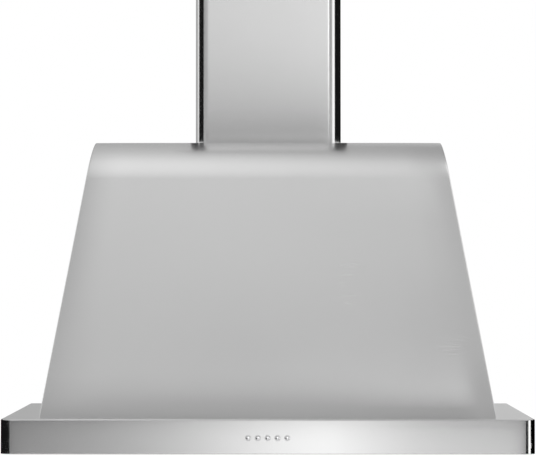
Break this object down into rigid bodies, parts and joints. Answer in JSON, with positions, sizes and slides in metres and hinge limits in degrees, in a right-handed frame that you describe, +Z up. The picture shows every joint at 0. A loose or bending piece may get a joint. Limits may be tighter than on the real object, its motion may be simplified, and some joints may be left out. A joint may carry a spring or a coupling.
{
  "type": "range hood",
  "caption": "Wall-mounted chimney range hood in brushed steel: shallow tray with push buttons, canopy with rolled top, telescopic chimney, baffle filters and a blower inside.",
  "frame": {"origin": "on the wall plane, at the middle of the tray's lower rear edge", "axes": "+Y into the wall, +Z up along the duct, +X to the right for someone facing the hood; the front faces -Y"},
  "size_m": [1, 0.521, 1.04],
  "materials": {
    "brushed_steel": "fine horizontal brushing, satin",
    "galvanised_steel": "dull zinc coating",
    "filter_steel": "satin",
    "button_chrome": "polished",
    "screw_steel": "zinc plated",
    "dark_plastic": "fine grain",
    "grey_plastic": "moulded",
    "white_plastic": "moulded",
    "motor_paint": "matt black paint",
    "circuit_board": "lacquered board",
    "frosted_glass": "frosted",
    "lamp_glass": "clear capsule on a ceramic base",
    "lead_sheath": "matt sheath"
  },
  "bodies": {
    "hood": {"tray_shell": "brushed_steel", "light_panel": "brushed_steel", "filter_panel": "brushed_steel", "filter_rail": "galvanised_steel", "filter_clips": "galvanised_steel", "canopy_front": "brushed_steel", "canopy_side_left": "brushed_steel", "canopy_side_right": "brushed_steel", "back_panel": "galvanised_steel", "canopy_screws": "screw_steel", "chimney_lower": "brushed_steel", "chimney_feet": "galvanised_steel", "blower_housing": "galvanised_steel", "inlet_rings": "dark_plastic", "blower_motor": "motor_paint", "motor_bracket": "galvanised_steel", "outlet_collar": "dark_plastic", "damper_pin": "screw_steel", "blower_screws": "screw_steel", "switch_housing": "dark_plastic", "lamp_bezel_left": "brushed_steel", "lamp_bezel_right": "brushed_steel", "lamp_lens_left": "frosted_glass", "lamp_lens_right": "frosted_glass", "lamp_housing_left": "galvanised_steel", "lamp_housing_right": "galvanised_steel", "lamp_bulb_left": "lamp_glass", "lamp_bulb_right": "lamp_glass", "control_box": "grey_plastic", "control_box_lid": "white_plastic", "circuit_board": "circuit_board", "capacitor": "white_plastic", "cable_gland": "dark_plastic", "switch_lead": "lead_sheath", "lamp_lead": "lead_sheath", "motor_lead": "lead_sheath"},
    "upper_chimney": {"chimney_upper": "brushed_steel", "chimney_bracket": "galvanised_steel", "chimney_screws": "screw_steel"},
    "fan": {"impeller": "white_plastic", "motor_shaft": "screw_steel"},
    "flap_front": {"damper_flap_front": "grey_plastic"},
    "flap_rear": {"damper_flap_rear": "grey_plastic"},
    "filter_left": {"filter_frame_left": "filter_steel", "filter_baffles_left": "filter_steel"},
    "handle_left": {"filter_handle_left": "filter_steel"},
    "filter_centre": {"filter_frame_centre": "filter_steel", "filter_baffles_centre": "filter_steel"},
    "handle_centre": {"filter_handle_centre": "filter_steel"},
    "filter_right": {"filter_frame_right": "filter_steel", "filter_baffles_right": "filter_steel"},
    "handle_right": {"filter_handle_right": "filter_steel"},
    "push_button_1": {"button_1": "button_chrome"},
    "push_button_2": {"button_2": "button_chrome"},
    "push_button_3": {"button_3": "button_chrome"},
    "push_button_4": {"button_4": "button_chrome"},
    "push_button_5": {"button_5": "button_chrome"}
  },
  "joints": [
    {"name": "upper_chimney_slide", "type": "slide", "parent": "hood", "child": "upper_chimney", "axis": [0, 0, 1], "range_m": [0, 0.28]},
    {"name": "fan_spin", "type": "hinge", "parent": "hood", "child": "fan", "pos_m": [0, -0.195, 0.403], "axis": [1, 0, 0], "continuous": true},
    {"name": "flap_front_hinge", "type": "hinge", "parent": "hood", "child": "flap_front", "pos_m": [0, -0.125, 0.627], "axis": [-1, 0, 0], "range_deg": [0, 75]},
    {"name": "flap_rear_hinge", "type": "hinge", "parent": "hood", "child": "flap_rear", "pos_m": [0, -0.125, 0.627], "axis": [1, 0, 0], "range_deg": [0, 75]},
    {"name": "filter_left_hinge", "type": "hinge", "parent": "hood", "child": "filter_left", "pos_m": [-0.314, -0.048, 0.036], "axis": [1, 0, 0], "range_deg": [0, 60]},
    {"name": "handle_left_hinge", "type": "hinge", "parent": "filter_left", "child": "handle_left", "pos_m": [-0.314, -0.3995, 0.0254], "axis": [1, 0, 0], "range_deg": [-15, 85]},
    {"name": "filter_centre_hinge", "type": "hinge", "parent": "hood", "child": "filter_centre", "pos_m": [0, -0.048, 0.036], "axis": [1, 0, 0], "range_deg": [0, 60]},
    {"name": "handle_centre_hinge", "type": "hinge", "parent": "filter_centre", "child": "handle_centre", "pos_m": [0, -0.3995, 0.0254], "axis": [1, 0, 0], "range_deg": [-15, 85]},
    {"name": "filter_right_hinge", "type": "hinge", "parent": "hood", "child": "filter_right", "pos_m": [0.314, -0.048, 0.036], "axis": [1, 0, 0], "range_deg": [0, 60]},
    {"name": "handle_right_hinge", "type": "hinge", "parent": "filter_right", "child": "handle_right", "pos_m": [0.314, -0.3995, 0.0254], "axis": [1, 0, 0], "range_deg": [-15, 85]},
    {"name": "button_1_press", "type": "slide", "parent": "hood", "child": "push_button_1", "axis": [0, 1, 0], "range_m": [0, 0.0025], "stiffness_N_per_m": 400, "springref_m": -0.004},
    {"name": "button_2_press", "type": "slide", "parent": "hood", "child": "push_button_2", "axis": [0, 1, 0], "range_m": [0, 0.0025], "stiffness_N_per_m": 400, "springref_m": -0.004},
    {"name": "button_3_press", "type": "slide", "parent": "hood", "child": "push_button_3", "axis": [0, 1, 0], "range_m": [0, 0.0025], "stiffness_N_per_m": 400, "springref_m": -0.004},
    {"name": "button_4_press", "type": "slide", "parent": "hood", "child": "push_button_4", "axis": [0, 1, 0], "range_m": [0, 0.0025], "stiffness_N_per_m": 400, "springref_m": -0.004},
    {"name": "button_5_press", "type": "slide", "parent": "hood", "child": "push_button_5", "axis": [0, 1, 0], "range_m": [0, 0.0025], "stiffness_N_per_m": 400, "springref_m": -0.004}
  ]
}
